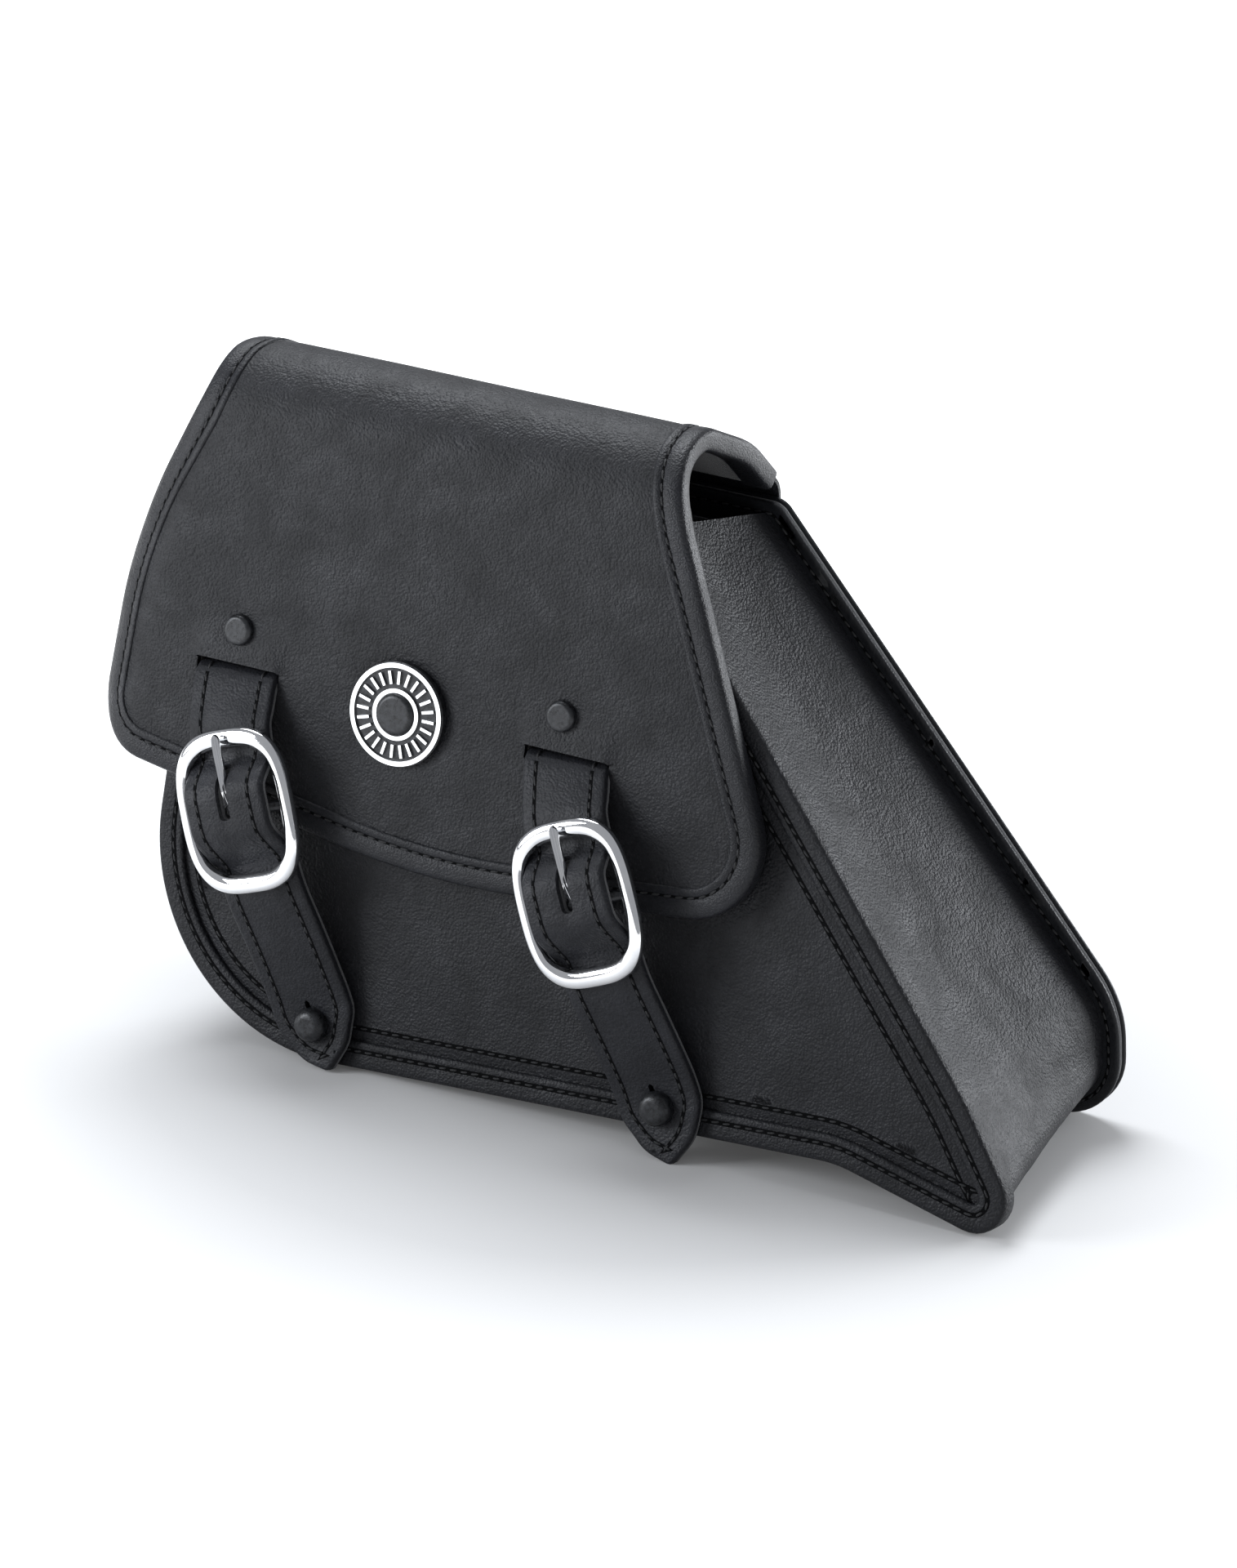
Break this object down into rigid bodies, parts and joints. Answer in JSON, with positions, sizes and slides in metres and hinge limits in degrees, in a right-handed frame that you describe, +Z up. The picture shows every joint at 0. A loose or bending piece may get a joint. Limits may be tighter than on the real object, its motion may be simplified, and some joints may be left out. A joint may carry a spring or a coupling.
{
  "type": "motorcycle swing-arm saddlebag",
  "caption": "Stiff leather side bag with a slanted end, a hinged roof flap closed by two buckled straps, and a bolt-through rear panel.",
  "frame": {"origin": "on the ground under the middle of the bag's bounding box, as it stands with the flap closed", "axes": "+X along the bag towards its pointed end, +Y from the flap and buckles towards the motorcycle, +Z up"},
  "size_m": [0.3577, 0.1419, 0.2411],
  "materials": {
    "outer_leather": "fine-grained satin black leather",
    "edge_leather": "thin black binding leather",
    "suede": "black split suede, flesh side",
    "stiffener_board": "dense fibre or plastic stiffener board",
    "chrome": "polished chrome plate",
    "blackened_steel": "gloss black coated steel",
    "zinc_steel": "zinc-plated steel"
  },
  "bodies": {
    "bag": {"back_skin": "outer_leather", "back_board": "stiffener_board", "back_facing": "outer_leather", "back_welt": "edge_leather", "back_liner": "suede", "gusset": "outer_leather", "gusset_liner": "suede", "front_border": "outer_leather", "front_panel": "outer_leather", "front_board": "stiffener_board", "front_liner": "suede", "studs": "blackened_steel", "stud_washers": "zinc_steel", "hinge_strip": "outer_leather", "hinge_rivets": "blackened_steel", "load_plates": "zinc_steel", "grommets": "zinc_steel"},
    "flap": {"flap_skin": "outer_leather", "flap_board": "stiffener_board", "flap_liner": "suede", "flap_binding": "edge_leather", "strap_tabs": "edge_leather", "cap_rivets": "blackened_steel", "rivet_burrs": "zinc_steel", "badge_base": "blackened_steel", "badge_trim": "chrome", "badge_dome": "blackened_steel", "badge_nut": "zinc_steel"},
    "strap_left": {"strap_left": "outer_leather", "strap_backing_left": "suede", "buckle_left": "chrome"},
    "strap_right": {"strap_right": "outer_leather", "strap_backing_right": "suede", "buckle_right": "chrome"},
    "prong_left": {"prong_left": "chrome"},
    "prong_right": {"prong_right": "chrome"}
  },
  "joints": [
    {"name": "flap_hinge", "type": "hinge", "parent": "bag", "child": "flap", "pos_m": [0, 0.04701, 0.20603], "axis": [-1, 0, 0], "range_deg": [0, 110]},
    {"name": "strap_left_swing", "type": "hinge", "parent": "flap", "child": "strap_left", "pos_m": [-0.1265, -0.04404, 0.13426], "axis": [-0.9455, -0.0346, -0.3237], "range_deg": [0, 60]},
    {"name": "strap_right_swing", "type": "hinge", "parent": "flap", "child": "strap_right", "pos_m": [0.0032, -0.04446, 0.13028], "axis": [-0.9245, -0.0405, -0.3789], "range_deg": [0, 60]},
    {"name": "prong_left_turn", "type": "hinge", "parent": "strap_left", "child": "prong_left", "pos_m": [-0.11087, -0.06228, 0.09057], "axis": [0.9455, 0.0346, 0.3237], "range_deg": [0, 40]},
    {"name": "prong_right_turn", "type": "hinge", "parent": "strap_right", "child": "prong_right", "pos_m": [0.02149, -0.0626, 0.08759], "axis": [0.9245, 0.0405, 0.3789], "range_deg": [0, 40]}
  ]
}
